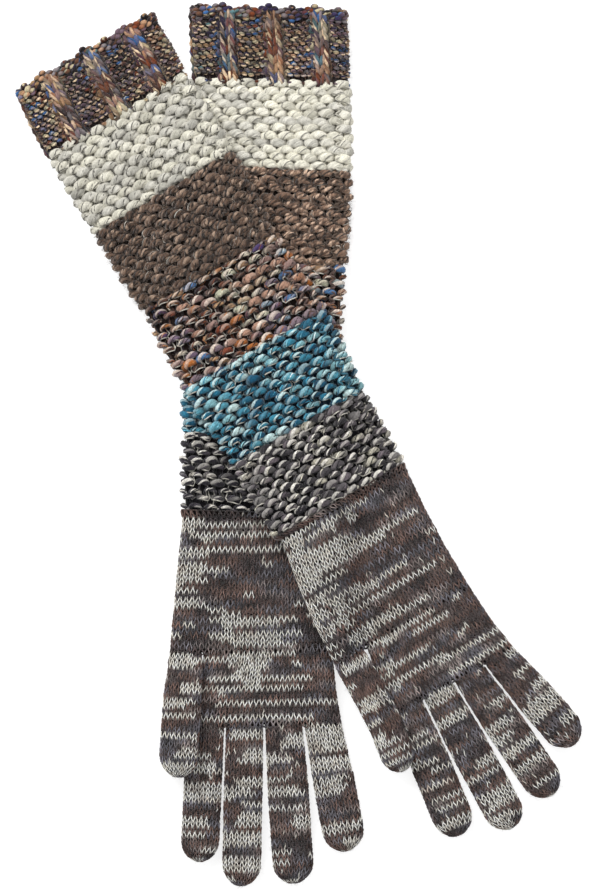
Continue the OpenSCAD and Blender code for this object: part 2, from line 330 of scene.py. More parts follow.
def rested(p):
    """The lowest REST mm pressed flat where the knitting lies on the table."""
    p = p.copy()
    p[:, 2] = np.where(p[:, 2] < REST, REST * np.exp(np.minimum(p[:, 2] - REST, 0) / REST), p[:, 2])
    return p


def side_and_up(p, n, closed=True):
    """Unit vectors across yarn lines p (rows, points, 3): along the fabric, and out of it."""
    tan = np.roll(p, -1, 1) - np.roll(p, 1, 1) if closed else np.gradient(p, axis=1)
    tan /= np.maximum(np.linalg.norm(tan, axis=-1, keepdims=True), 1e-9)
    side = np.cross(tan, n)
    side /= np.maximum(np.linalg.norm(side, axis=-1, keepdims=True), 1e-9)
    return side, np.cross(side, tan)


def run_along(p):
    """The length of yarn from the start of its row to each point."""
    step = np.linalg.norm(np.diff(p, axis=1), axis=-1)
    return np.concatenate([np.zeros((len(p), 1)), np.cumsum(step, 1)], 1)


class Piece:
    """Collects tubes of yarn into one mesh with colour, twist and UV attributes."""

    def __init__(self):
        self.v, self.q, self.a, self.b, self.t, self.uv, self.share, self.n = [], [], [], [], [], [], [], 0

    def tube(self, pts, nrm, radius, sides, ca, cb, turns, flat=1.0, closed=True, plies=0, groove=0.0,
             share=None):
        """pts and nrm are (rows, points, 3); radius, ca, cb match; turns is the ply twist in turns per mm.

        flat squashes the section, plies and groove cut its grooves, share is its part of the map.
        """
        rows, k, _ = pts.shape
        side, up = side_and_up(pts, nrm, closed)
        th = np.arange(sides) / sides * math.tau
        c, s = np.cos(th), np.sin(th)
        phase = run_along(pts) * turns * math.tau
        radius = np.broadcast_to(radius, (rows, k))[..., None]
        if groove:
            radius = radius * (1 - groove * (1 - np.abs(np.sin(plies / 2 * (th - phase[..., None]))) ** 0.7))
        radius = np.broadcast_to(radius, (rows, k, sides))[..., None]
        v = (pts[:, :, None] + side[:, :, None] * (c[None, None, :, None] * radius)
             + up[:, :, None] * (s[None, None, :, None] * radius * flat))
        tw = np.stack([np.broadcast_to(phase[..., None], (rows, k, sides)),
                       np.broadcast_to(c, (rows, k, sides)), np.broadcast_to(s, (rows, k, sides))], -1)
        idx = np.arange(rows * k * sides).reshape(rows, k, sides) + self.n
        nxt = np.roll(idx, -1, 2)
        if closed:
            a, b, a2, b2 = idx, nxt, np.roll(idx, -1, 1), np.roll(nxt, -1, 1)
        else:
            a, b, a2, b2 = idx[:, :-1], nxt[:, :-1], idx[:, 1:], nxt[:, 1:]
        self.q.append(np.stack([a, a2, b2, b], -1).reshape(-1, 4))
        # each tube gets a strip of the map, in as many columns as keep the strips from being too thin
        columns = max(1, int(math.sqrt(rows / 12)))
        lines = math.ceil(rows / columns)
        r, j, i = np.meshgrid(np.arange(rows), np.arange(a.shape[1]), np.arange(sides), indexing="ij")
        u0 = (r // lines + (np.stack([j, j + 1, j + 1, j], -1) / a.shape[1]).transpose(3, 0, 1, 2)) / columns
        v0 = (r % lines + (np.stack([i, i, i + 1, i + 1], -1) / sides).transpose(3, 0, 1, 2)) / lines
        self.uv.append(np.stack([u0, v0], -1).transpose(1, 2, 3, 0, 4).reshape(-1, 4, 2))
        self.share.append(share or lines * float(np.mean(radius)))
        self.v.append(v.reshape(-1, 3))
        self.t.append(tw.reshape(-1, 3))
        for store, col in ((self.a, ca), (self.b, cb)):
            col = np.broadcast_to(col, (rows, k, 3))
            store.append(np.repeat(col.reshape(-1, 3), sides, 0))
        self.n += rows * k * sides
        return v

    def build(self, name, material):
        co = rested(np.concatenate(self.v)) * MM
        quads = np.concatenate(self.q).astype(np.int32)
        mesh = new_mesh(name, co, quads)
        share = np.array(self.share) / sum(self.share)
        low = np.cumsum(share) - share
        uv = np.concatenate([np.stack([m[..., 0], b + m[..., 1] * h], -1)
                             for m, b, h in zip(self.uv, low, share)])
        map_layer(mesh, uv)
        for label, store in (("ply_a", self.a), ("ply_b", self.b)):
            col = np.ones((len(co), 4), np.float32)
            col[:, :3] = np.clip(np.concatenate(store), 0, 1)
            mesh.attributes.new(label, "FLOAT_COLOR", "POINT").data.foreach_set("color", col.ravel())
        tw = np.concatenate(self.t).astype(np.float32)
        mesh.attributes.new("twist", "FLOAT_VECTOR", "POINT").data.foreach_set("vector", tw.ravel())
        return finish_object(name, mesh, material)


def new_mesh(name, co, quads):
    mesh = bpy.data.meshes.new(name)
    mesh.vertices.add(len(co))
    mesh.vertices.foreach_set("co", co.astype(np.float32).ravel())
    mesh.loops.add(quads.size)
    mesh.loops.foreach_set("vertex_index", quads.ravel())
    mesh.polygons.add(len(quads))
    mesh.polygons.foreach_set("loop_start", np.arange(0, quads.size, 4, dtype=np.int32))
    mesh.update(calc_edges=True)
    mesh.polygons.foreach_set("use_smooth", np.ones(len(quads), bool))
    return mesh


def map_layer(mesh, uv):
    mesh.uv_layers.new(name="OFBake").uv.foreach_set("vector", uv.astype(np.float32).ravel())


def finish_object(name, mesh, material):
    mesh.materials.append(material)
    obj = bpy.data.objects.new(name, mesh)
    bpy.context.scene.collection.objects.link(obj)
    return obj


def liner(name, skin, s0, s1, off, material):
    """The smooth layer that backs the stitches."""
    nf, ns = 72, max(3, int((s1 - s0) / 3) + 1)
    s = np.linspace(s0, s1, ns)
    p, _ = skin.at(np.arange(nf)[None, :] / nf, s[:, None], np.full((ns, nf), off))
    idx = np.arange(ns * nf).reshape(ns, nf)
    nxt = np.roll(idx, -1, 1)
    quads = np.stack([idx[:-1], idx[1:], nxt[1:], nxt[:-1]], -1).reshape(-1, 4)
    mesh = new_mesh(name, rested(p.reshape(-1, 3)) * MM, quads.astype(np.int32))
    j, i = np.meshgrid(np.arange(ns - 1), np.arange(nf), indexing="ij")
    map_layer(mesh, np.stack([np.stack([i, i, i + 1, i + 1], -1) / nf,
                              np.stack([j, j + 1, j + 1, j], -1) / (ns - 1)], -1))
    return finish_object(name, mesh, material)


# ---------------------------------------------------------------- materials
def nodes_of(name):
    mat = bpy.data.materials.new(name)
    mat.use_nodes = True
    nt = mat.node_tree
    return mat, nt, nt.nodes["Principled BSDF"]


def new_node(nt, kind, **values):
    """A shader node with some of its inputs set; a low line in a key stands for a space."""
    node = nt.nodes.new("ShaderNode" + kind)
    for key, value in values.items():
        node.inputs[key.replace("_", " ")].default_value = value
    return node


def attribute_node(nt, name):
    node = new_node(nt, "Attribute")
    node.attribute_name = name
    return node


def math_node(nt, op, *values):
    node = new_node(nt, "Math")
    node.operation = op
    for i, x in enumerate(values):
        if isinstance(x, (int, float)):
            node.inputs[i].default_value = x
        else:
            nt.links.new(x, node.inputs[i])
    return node.outputs[0]


def object_noise(nt, scale, detail):
    """Noise fixed to the object, as its factor."""
    noise = new_node(nt, "TexNoise", Scale=scale, Detail=detail)
    nt.links.new(new_node(nt, "TexCoord").outputs["Object"], noise.inputs["Vector"])
    return noise.outputs["Fac"]


def ramp_node(nt, factor, dark, light, start=0.0, end=1.0):
    ramp = new_node(nt, "ValToRGB")
    for element, place, colour in zip(ramp.color_ramp.elements, (start, end), (dark, light)):
        element.position, element.color = place, (*colour, 1)
    nt.links.new(factor, ramp.inputs[0])
    return ramp.outputs[0]


def yarn_material(name, groove=0.3, plies=2, fleck=0.25, grain=0.35, rough=0.88, sheen=0.25, soft=0.35):
    """Plied yarn: two colours wound round each other, grooves between the plies and fibres along them."""
    mat, nt, p = nodes_of(name)
    link = nt.links.new
    # the twist attribute holds the ply's phase and the cosine and sine of the place round the yarn
    sep = new_node(nt, "SeparateXYZ")
    link(attribute_node(nt, "twist").outputs["Vector"], sep.inputs[0])
    angle = math_node(nt, "ARCTAN2", sep.outputs[2], sep.outputs[1])
    phase = math_node(nt, "SUBTRACT", angle, sep.outputs[0])
    wave = math_node(nt, "SINE", phase)
    mask = new_node(nt, "MapRange", From_Min=-soft, From_Max=soft)
    mask.interpolation_type = "SMOOTHSTEP"
    link(wave, mask.inputs["Value"])
    mix = new_node(nt, "Mix")
    mix.data_type = "RGBA"
    link(mask.outputs[0], mix.inputs["Factor"])
    link(attribute_node(nt, "ply_a").outputs["Color"], mix.inputs["A"])
    link(attribute_node(nt, "ply_b").outputs["Color"], mix.inputs["B"])
    # fibres lie along the plies
    around = new_node(nt, "CombineXYZ")
    link(math_node(nt, "MULTIPLY", sep.outputs[0], 0.35), around.inputs[0])
    link(math_node(nt, "MULTIPLY", math_node(nt, "COSINE", phase), 2.2), around.inputs[1])
    link(math_node(nt, "MULTIPLY", wave, 2.2), around.inputs[2])
    coarse = new_node(nt, "TexNoise", Scale=1.6, Detail=4, Roughness=0.7)
    link(around.outputs[0], coarse.inputs["Vector"])
    both = math_node(nt, "ADD", math_node(nt, "MULTIPLY", coarse.outputs["Fac"], 0.65),
                     math_node(nt, "MULTIPLY", object_noise(nt, 900, 2), 0.35))
    shade = new_node(nt, "MapRange", From_Min=0.3, From_Max=0.7, To_Min=1 - fleck, To_Max=1 + fleck)
    link(both, shade.inputs["Value"])
    tint = new_node(nt, "VectorMath")
    tint.operation = "SCALE"
    link(mix.outputs["Result"], tint.inputs[0])
    link(shade.outputs[0], tint.inputs["Scale"])
    link(tint.outputs[0], p.inputs["Base Color"])
    # grooves between the plies, then fibres
    turns = math_node(nt, "ABSOLUTE", math_node(nt, "SINE", math_node(nt, "MULTIPLY", phase, plies / 2)))
    height = math_node(nt, "ADD", math_node(nt, "MULTIPLY", math_node(nt, "POWER", turns, 0.6), groove),
                       math_node(nt, "MULTIPLY", both, grain))
    bump = new_node(nt, "Bump", Strength=0.9, Distance=0.001)
    link(height, bump.inputs["Height"])
    link(bump.outputs[0], p.inputs["Normal"])
    p.inputs["Roughness"].default_value = rough
    p.inputs["Specular IOR Level"].default_value = 0.25
    p.inputs["Sheen Weight"].default_value = sheen
    p.inputs["Sheen Roughness"].default_value = 0.45
    return mat


def liner_material(name, colour):
    # the colour given is painted shade: the backing layer is real, its dark colour stands for the shade
    # between the stitches
    mat, nt, p = nodes_of(name)
    fuzz = object_noise(nt, 260, 3)
    c = linear(colour)
    nt.links.new(ramp_node(nt, fuzz, c * 0.55, c, 0.35, 0.65), p.inputs["Base Color"])
    bump = new_node(nt, "Bump", Distance=0.0006)
    nt.links.new(fuzz, bump.inputs["Height"])
    nt.links.new(bump.outputs[0], p.inputs["Normal"])
    p.inputs["Roughness"].default_value = 0.95
    p.inputs["Specular IOR Level"].default_value = 0.15
    return mat


YARN = {
    "cuff": yarn_material("rib_yarn", groove=0.25, plies=3, fleck=0.35, grain=0.3),
    "cream_band": yarn_material("cream_yarn", groove=0.5, plies=3, fleck=0.42, grain=0.6, sheen=0.2,
                                soft=0.6),
    "brown_band": yarn_material("mohair_yarn", groove=0.4, plies=3, fleck=0.5, grain=0.6, sheen=0.3),
    "slub": yarn_material("slub_yarn", groove=0.12, fleck=0.7, grain=0.8, soft=0.7),
    "fine": yarn_material("heather_yarn", groove=0.22, fleck=0.35, grain=0.25, soft=0.25),
    "seam": yarn_material("seam_yarn", groove=0.25, fleck=0.3, grain=0.25),
}
# gap colours: painted shade between the stitches, on the layer that backs them
SHADED_LINING = {
    "cuff": liner_material("rib_gaps", (30, 22, 22)),
    "cream_band": liner_material("cream_gaps", (168, 165, 154)),
    "brown_band": liner_material("mohair_gaps", (40, 32, 28)),
    "multicolour_band": liner_material("multicolour_gaps", (36, 26, 24)),
    "teal_band": liner_material("teal_gaps", (16, 34, 48)),
    "grey_band": liner_material("grey_gaps", (26, 24, 28)),
    "fine": liner_material("heather_gaps", (28, 23, 23)),
}


# ---------------------------------------------------------------- stitches
def loop_rows(skin, rows, widths, q, head, depth, sign, bow=0.239, square=0.0, dome=0.0, slant=0.0,
              jitter=0.25, own=0.0, start=0.75, ease=0.0, lift_by=None, push=None, ends=None):
    """Centre lines of knitted courses. rows are their places along the skin, widths the stitches' widths.

    q is the points per stitch, head the height of a loop, depth its swing out of the fabric. sign is +1
    where a stitch shows its purl side and -1 where it shows its knit side. bow, square, dome and slant
    shape the loop, jitter and own make it uneven. Yarn that would leave the space between ends is tucked
    under the edge instead.
    """
    m = len(widths)
    rows = np.asarray(rows, float)[:, None]
    nr, count = len(rows), m * q
    t = np.arange(count)[None, :] / q
    a = math.tau * t - 0.5 * ease * np.sin(4 * math.pi * t)
    c = np.cos(a)
    if square:
        c = np.tanh(square * c) / math.tanh(square)
    x = a / math.tau + bow * np.sin(2 * a) + noise_line(nr, count, m * 0.7, 0.03)
    edges = np.concatenate([[0], np.cumsum(widths)]) / np.sum(widths)
    f = np.interp(np.mod(x, m), np.arange(m + 1), edges) + start
    s = (rows + head * c * (1 + noise_line(nr, count, m, 0.04)) + noise_line(nr, count, m * 0.6, jitter)
         + noise_line(nr, count, m * 2, own)
         + (dome + noise_line(nr, count, m * 2, own * 0.6)) * np.cos(2 * a)
         + (slant + noise_line(nr, count, m * 2, own)) * np.sin(2 * a))
    if push is not None:
        s = s + push
    around = a[0] / math.tau
    sg = np.interp(around, np.arange(m + 1), np.append(sign, sign[0])) if np.ptp(sign) else sign[0]
    off = sg * depth * np.cos(2 * a) + noise_line(nr, count, m * 2, 0.1 + own * 0.3)
    if lift_by is not None:
        off = off + lift_by
    over = 0 * s
    if ends is not None:
        inside = np.clip(s, *ends)
        over = np.abs(s - inside)
        s, off = inside, off - np.minimum(over * 0.8, 2.2)
    p, n = skin.at(f, s, off)
    return p, n, np.mod(f, 1), s, np.cos(2 * a), over


def two_ply(piece, p, n, radius, ph, fat, ca, cb):
    """A thick soft strand with a thinner one wound round it."""
    side, up = side_and_up(p, n)
    x, y = side * (np.cos(ph) * radius)[..., None], up * (np.sin(ph) * radius)[..., None]
    piece.tube(p - x * 0.14 - y * 0.12, n, radius * 0.84, 9, ca, ca * 0.8, 1 / 12, 0.86)
    piece.tube(p + x * 0.56 + y * 0.50, n, radius * 0.46 * fat, 6, cb, cb * 0.85, 1 / 5, 0.9)


def three_ply(piece, p, n, radius, ph, colours):
    """Three equal strands twisted together."""
    side, up = side_and_up(p, n)
    for k, c in enumerate(colours):
        a = ph + k * math.tau / 3
        x, y = side * (np.cos(a) * radius)[..., None], up * (np.sin(a) * radius)[..., None]
        piece.tube(p + x * 0.46 + y * 0.40, n, radius * 0.58, 6, c, c * 0.85, 1 / 5, 0.9)


def glint_thread(piece, p, n, radius, size, share, dark):
    """A shiny thread held along the lower edge of the yarn, white here and there."""
    rows, k, _ = p.shape
    side, up = side_and_up(p, n)
    ph = math.pi + noise_line(rows, k, k / 9, 0.45)
    c = p + (side * np.cos(ph)[..., None] + up * np.sin(ph)[..., None]) * (radius + size * 0.3)[..., None]
    on = np.clip((noise_line(rows, k, k / 5, 1.0) - share) * 3, 0, 1)[..., None]
    colour = WHITE * on + dark * (1 - on)
    piece.tube(c, n, size * (0.7 + 0.3 * on[..., 0]), 4, colour, colour * 0.85, 0.35)


def marl(piece, p, n, out, threads, dark, rate=1 / 11, glints=0.7):
    """Fine threads (radius, colour) that wander round the yarn and show where it thins.

    One without a colour is dark with white glints.
    """
    rows, k, _ = p.shape
    side, up = side_and_up(p, n)
    run = run_along(p)
    for i, (size, colour) in enumerate(threads):
        ph = run * rate * math.tau + i * math.tau / len(threads) + noise_line(rows, k, k / 20, 0.9)
        far = out
        if colour is None:
            far = out * 1.45
            glint = np.clip(noise_line(rows, k, k / 5, 2.6) - glints, 0, 1)[..., None]
            colour = WHITE * glint + dark * (1 - glint)
        c = p + side * (np.cos(ph) * far)[..., None] + up * (np.sin(ph) * far * 0.8)[..., None]
        piece.tube(c, n, size, 4, colour, colour * 0.85, 0.35)


def fibres(piece, skin, count, s0, s1, out, length, colours, thin=0.055, upright=0.5):
    """Loose fibres that stand off the yarn as a halo."""
    f = rng.uniform(0, 1, count)
    f = np.where(rng.uniform(0, 1, count) < 0.4, rng.uniform(-0.04, 0.54, count), f)
    s = rng.uniform(s0, s1, count)
    p, n = skin.at(f, s, np.full(count, out))
    d = rng.normal(0, 1, (count, 3)) + n * upright * 2
    d -= n * np.minimum((d * n).sum(1, keepdims=True), 0)
    d /= np.linalg.norm(d, axis=1, keepdims=True)
    bend = rng.normal(0, 1, (count, 3)) * 0.55
    size = length * rng.uniform(0.5, 1.3, (count, 1))
    pts = np.stack([p - n * 0.6, p + d * size * 0.35, p + (d * 0.7 + bend * 0.25) * size,
                    p + (d * 0.85 + bend * 0.75 - n * 0.25) * size], 1)
    col = colours[rng.integers(0, len(colours), count)][:, None, :]
    radius = np.array([1.0, 0.9, 0.7, 0.25])[None, :] * thin * rng.uniform(0.7, 1.3, (count, 1))
    piece.tube(pts, np.repeat(n[:, None], 4, 1) + 0.01, radius, 3, col, col * 0.9, 0.3, closed=False,
               share=count / 700)


def course_places(s0, s1, spacing):
    n = max(1, int(round((s1 - s0) / spacing)))
    return s0 + (np.arange(n) + 0.5) * (s1 - s0) / n, (s1 - s0) / n


BULKY_WALES, BULKY_POINTS, BULKY_COURSE = 20, 22, 9.0
SHADOW = {"multicolour_band": (40, 30, 30), "teal_band": (14, 38, 54), "grey_band": (24, 22, 27)}
# radius in mm; mean and spread of its long slubs, and own of those within a stitch; runs is the colour
# changes per stitch; second is the colour of its other ply, partly a painted highlight, and share how much
# of that shows
Bulky = namedtuple("Bulky", "radius mean spread own palette weights runs second share")
BULKY = {
    "cream_band": Bulky(2.78, 1.0, 0.05, 0.05, CREAM, None, 0.45, (240, 236, 224), 0.3),
    "brown_band": Bulky(2.5, 1.0, 0.04, 0.05, BROWN, BROWN_W, 7, None, 0),
    "multicolour_band": Bulky(2.45, 0.73, 0.32, 0.10, MULTI, MULTI_W, 0.8, (240, 222, 206), 0.44),
    "teal_band": Bulky(2.45, 0.86, 0.12, 0.09, TEAL, TEAL_W, 0.9, (214, 240, 240), 0.64),
    "grey_band": Bulky(2.45, 0.84, 0.16, 0.10, GREY, GREY_W, 0.9, (246, 241, 231), 0.54),
}


def bulky_band(g, kind, s0, s1, skin):
    """Reverse stocking stitch in thick yarn: rows of bumps, offset by half a stitch."""
    prefix, yarn = GLOVES[g], BULKY[kind]
    cream, brown = kind == "cream_band", kind == "brown_band"
    if kind == "grey_band" and g == BOTTOM:
        yarn = yarn._replace(mean=0.56, spread=0.20, palette=INK, weights=INK_W)
    thin, thin_w = (RUST, RUST_W) if kind == "multicolour_band" else (yarn.palette, yarn.weights)
    wales, q = BULKY_WALES, BULKY_POINTS
    count = wales * q
    courses, pitch = course_places(s0, s1, BULKY_COURSE)
    rows = np.concatenate([[courses[0] - pitch], courses, [courses[-1] + pitch]])
    nr = len(rows)
    p, n, _, _, front, over = loop_rows(
        skin, rows, np.ones(wales), q, pitch * 0.75, 1.0 if cream or brown else 1.3, np.ones(wales),
        bow=0.225, square=2.4, dome=1.2 if cream else 0.95, slant=0.3, jitter=0.25, own=0.24, ease=0.35,
        ends=(s0 + 0.8, s1 - 0.8))
    low, high = noise_line(nr, count, 7, 1.0), noise_line(nr, count, wales * 0.9, 1.0)
    slub = np.clip(yarn.mean + yarn.spread * low + yarn.own * high, 0.54, 1.10)
    bump = (0.5 + 0.5 * front) ** 0.8
    pinch = 0.36 if cream or brown else 0.50
    radius = yarn.radius * slub * (1 - pinch + pinch * bump) * (1 - 0.3 * np.clip(over / 2, 0, 1))
    # painted shade: this mask is 1 on the bumps and falls where the yarn dives into the fabric; the colours
    # below are darkened by it
    shade_mask = np.clip(front + 0.45, 0, 1)[..., None]
    piece = Piece()
    if brown:
        side, up = side_and_up(p, n)
        run = run_along(p)
        tint = linear((255, 250, 246)) * (1.85 if g == BOTTOM else 1.05)
        for k in range(5):
            ph = run * math.tau / 12 + k * math.pi / 2.5 + noise_line(nr, count, wales * 2, 0.5)
            c = (p + side * (np.cos(ph) * radius * 0.60)[..., None]
                 + up * (np.sin(ph) * radius * 0.50)[..., None])
            ca, cb = (space_dyed(nr, count, wales * yarn.runs, yarn.palette, yarn.weights, 0.4) * tint
                      for _ in range(2))
            # the strands' colours carry the painted shade too
            piece.tube(c, n, radius * 0.40 * (1 + noise_line(nr, count, wales * 4, 0.12)), 6,
                       ca * (0.6 + 0.4 * shade_mask), cb * (0.6 + 0.4 * shade_mask), 1 / 4, 0.9)
    else:
        ca = space_dyed(nr, count, wales * yarn.runs, yarn.palette, yarn.weights, 0.5)
        ca = ca * (1 + noise_line(nr, count, wales * 2, 0.09)[..., None])
        if not cream and kind != "teal_band":
            # where the yarn thins out it takes the colours of its other strands
            bare = np.clip((0.72 - slub) / 0.15, 0, 1)[..., None]
            ca = ca * (1 - bare) + space_dyed(nr, count, wales * 6, thin, thin_w, 0.5) * 1.3 * bare
        uneven = noise_line(nr, count, wales * 1.2, 0.3 if cream else 0.8)[..., None]
        show = np.clip(yarn.share * (1 + uneven), 0.02, 0.95)
        cb = ca * (1 - show) + linear(yarn.second) * show
        ca = ca * (0.95 if cream else 0.80)
        if cream:
            ca, cb = (ca * 0.76, cb * 0.82) if g == TOP else (ca * 0.94, cb * 0.98)
        # painted shade: where the yarn dives in, its colours fall to low of their value
        low = 0.93 if cream else 0.22
        ca, cb = ca * (low + (1 - low) * shade_mask), cb * (low + (1 - low) * shade_mask)
        if cream:
            piece.tube(p, n, radius, 15, ca, cb, 1 / 15, 0.68, plies=3, groove=0.15)
        else:
            # the pale second strand keeps its place on the bumps, on their upper edges: a real ply, and a
            # painted highlight there as well
            ph = 4 * math.pi * np.arange(count) / q + 1.1 + noise_line(nr, count, wales * 0.8, 0.7)
            two_ply(piece, p, n, radius, ph, 1 + noise_line(nr, count, wales * 1.1, 0.22), ca, cb)
    if cream or brown:
        tone = (60, 52, 48) if brown else (120, 116, 110) if g == TOP else (168, 165, 156)
        marl(piece, p, n, radius * 0.63, ((0.28, None),), linear(tone), glints=1.6 if brown else 0.6)
        if cream:
            grey = linear((84, 80, 76) if g == TOP else (128, 123, 114))
            glint_thread(piece, p, n, radius * 0.9, 0.26, 9, grey)
            if g == TOP:
                marl(piece, p, n, radius * 0.85, ((0.26, grey),), grey, rate=1 / 7)
    else:
        dark = linear(SHADOW[kind])
        extra = space_dyed(nr, count, wales * 4, thin, thin_w, 0.4) * 1.7
        glint_thread(piece, p, n, radius, 0.36, 0.15, dark)
        threads = ((0.42, dark), (0.42, extra), (0.34, dark))
        marl(piece, p, n, np.maximum(0.8, radius * 0.8), threads, dark, rate=1 / 8)
    if brown:
        mohair = linear(BROWN + [(168, 152, 136)])
        fibres(piece, skin, 3000, s0 + 1, s1 - 1, 2.2, 2.2, mohair, 0.10, 0.1)
    fibres(piece, skin, 300, s0 + 1, s1 - 1, 2.4, 3.2, linear(yarn.palette))
    made = piece.build(f"{prefix}{kind}_yarn", YARN.get(kind, YARN["slub"]))
    back = liner(f"{prefix}{kind}_fabric", skin, s0, s1, -0.9, SHADED_LINING[kind])
    return back, made


CUFF_COURSE = 5.0
RIBS, RIB_SIGN, RIB_WIDTH = 7, [1, 1, 1, 1, 1, -1, -1], [2.5, 3.9, 3.95, 3.9, 2.5, 5.4, 5.4]


def rib_pattern():
    """Seven ribs of two wide knit stitches between grounds of five narrow purl stitches."""
    return np.array(RIB_SIGN * RIBS, float), np.array(RIB_WIDTH * RIBS)


def rib_wave(q):
    """-1 on the middle of each ground, +1 on the middle of each rib, for every point of a course."""
    sign, width = rib_pattern()
    m = len(sign)
    edges = np.cumsum(np.append(0, width))
    where = np.interp(np.arange(m * q) / q, np.arange(m + 1), edges)
    rib = sum(RIB_WIDTH[:6])
    return np.cos((where - rib) / sum(RIB_WIDTH) * math.tau)


def cuff_rise(q, share=1.0):
    """The cuff's courses arch over the ribs, most at the mouth."""
    return (0.8 + 2.4 * rib_wave(q)[None, :]) * share


def cuff_knit(g, s0, s1, skin):
    prefix = GLOVES[g]
    sign, width = rib_pattern()
    q, m = 14, len(sign)
    rows, pitch = course_places(s0, s1, CUFF_COURSE)
    nr, count = len(rows), m * q
    soft = np.interp(np.arange(count) / q, np.arange(m + 1) + 0.5, np.append(sign, sign[0]))
    knit = np.clip(0.5 - soft * 0.8, 0, 1)[None, :]
    rise = cuff_rise(q, np.clip((rows - s0) / (s1 - s0), 0, 1)[:, None])
    p, n, _, _, front, _ = loop_rows(
        skin, rows, width, q, pitch * (0.75 + 0.22 * knit), 0.85, sign, jitter=0.13, start=0.70, square=1.0,
        own=0.08, slant=0.3 * (1 - knit), dome=0.45 * (1 - knit), bow=0.21 + 0.03 * knit,
        lift_by=-0.55 + knit * 1.15, push=rise)
    ca = space_dyed(nr, count, m / 1.3, CUFF, CUFF_W, 0.6)
    cb = ca * 0.5 + space_dyed(nr, count, m / 1.1, CUFF, CUFF_W, 0.5) * 0.5
    cc = ca * 0.4 + space_dyed(nr, count, m / 1.2, CUFF, CUFF_W, 0.5) * 0.6
    head, leg = np.clip(front, 0, 1), np.clip(-front, 0, 1)
    # painted shade: purl stitches are darker at their sides and knit stitches at their heads, where the yarn
    # dives into the fabric, and the purl ground is painted darker than the raised knit ribs
    recess_shade = ((1 - knit) * (0.12 + 0.88 * head ** 0.6) + knit * (0.30 + 0.70 * leg))[..., None]
    # the second ply takes pale tan here and there and is brightened: partly yarn colour, partly painted
    # highlight
    pale = np.clip(0.30 * (1 + noise_line(nr, count, m * 1.3, 1.3)[..., None]), 0, 0.9)
    ca = ca * (0.95 + 0.15 * knit)[..., None] * recess_shade * 0.9775
    cb = (cb * (0.85 + 0.15 * knit)[..., None] * (1 - pale) + linear((236, 208, 172)) * pale) * recess_shade * 1.35
    radius = (0.74 + 0.42 * head ** 0.7) * (1 - knit) + knit * (0.95 + 0.7 * leg ** 0.8)
    radius = radius * (1 + noise_line(nr, count, m * 1.3, 0.07))
    piece = Piece()
    ph = 4 * math.pi * np.arange(count) / q + 0.9 + noise_line(nr, count, m * 0.8, 0.7)
    three_ply(piece, p, n, radius, ph, (ca * 0.75, cb, cc * recess_shade * 1.1))
    fibres(piece, skin, 300, s0, s1, 1.8, 2.5, linear(CUFF))
    made = piece.build(f"{prefix}cuff_yarn", YARN["cuff"])
    back = liner(f"{prefix}cuff_fabric", skin, s0, s1, -0.9, SHADED_LINING["cuff"])
    return back, made


def bind_off(g, s0, s1, skin):
    """A chain of knots along the mouth."""
    prefix = GLOVES[g]
    q, m = 16, len(RIB_SIGN) * RIBS
    count = m * q
    piece = Piece()
    for place, head, depth, r in ((s0 + 0.9, 1.9, 0.8, 1.0), (s1 - 1.7, 1.1, 1.2, 1.35)):
        p, n, _, _, front, _ = loop_rows(skin, [place], np.ones(m), q, head, depth, np.ones(m), jitter=0.3,
                                         start=0.70, square=0.8, own=0.2, push=cuff_rise(q))
        ca = space_dyed(1, count, m / 1.4, CUFF, CUFF_W, 0.5)
        cb = space_dyed(1, count, m / 1.4, CUFF, CUFF_W, 0.5) * 0.85
        lump = np.clip(front, 0, 1)
        # painted shade: the knots darken where they dip into the fabric
        recess_shade = 0.4 + 0.6 * lump[..., None]
        piece.tube(p, n, r * (0.72 + 0.34 * lump) * (1 + noise_line(1, count, m * 1.5, 0.12)), 9,
                   ca * recess_shade, cb * recess_shade, 1 / 8, 0.95, plies=3, groove=0.08)
    made = piece.build(f"{prefix}bind_off_yarn", YARN["cuff"])
    back = liner(f"{prefix}bind_off_fabric", skin, s0, s1, -0.7, SHADED_LINING["cuff"])
    return back, made


# White runs of the space-dyed yarn, as (v from, v to, across from, across to, share of rows).
# Across is 0 at the left edge and 1 at the right edge on the palm side, and negative on the back.
POOLS = {
    (TOP, "hand_heel"): ((0, 86, -0.5, 0.17, 0.95), (6, 46, 0.1, 0.5, 0.4), (6, 46, 0.3, 0.85, 0.15),
                         (46, 70, 0.1, 0.34, 0.9), (52, 62, 0.3, 0.75, 0.4), (62, 70, 0.2, 1.0, 0.35),
                         (70, 86, 0.1, 0.38, 0.7)),
    (TOP, "palm"): ((84, 112, 0.02, 0.34, 0.75), (84, 96, 0.3, 0.62, 0.2), (100, 116, 0.1, 0.5, 0.35),
                    (112, 128, 0.5, 1.0, 0.4), (118, 128, 0.0, 0.5, 0.25)),
    (BOTTOM, "hand_heel"): ((0, 60, -0.4, 0.14, 0.9), (0, 10, 0.05, 0.62, 0.85), (10, 24, 0.1, 0.55, 0.6),
                            (34, 48, 0.14, 0.5, 0.7), (34, 52, 0.2, 0.8, 0.2), (62, 82, 0.3, 0.74, 0.92),
                            (78, 84, 0.3, 1.0, 0.6), (60, 70, 0.0, 0.3, 0.4)),
    (BOTTOM, "palm"): ((84, 90, 0.0, 0.3, 0.8), (84, 104, 0.25, 0.6, 0.9), (96, 108, 0.0, 0.4, 0.5),
                       (112, 128, 0.1, 0.9, 0.5)),
}


FINE_COURSE = 2.95


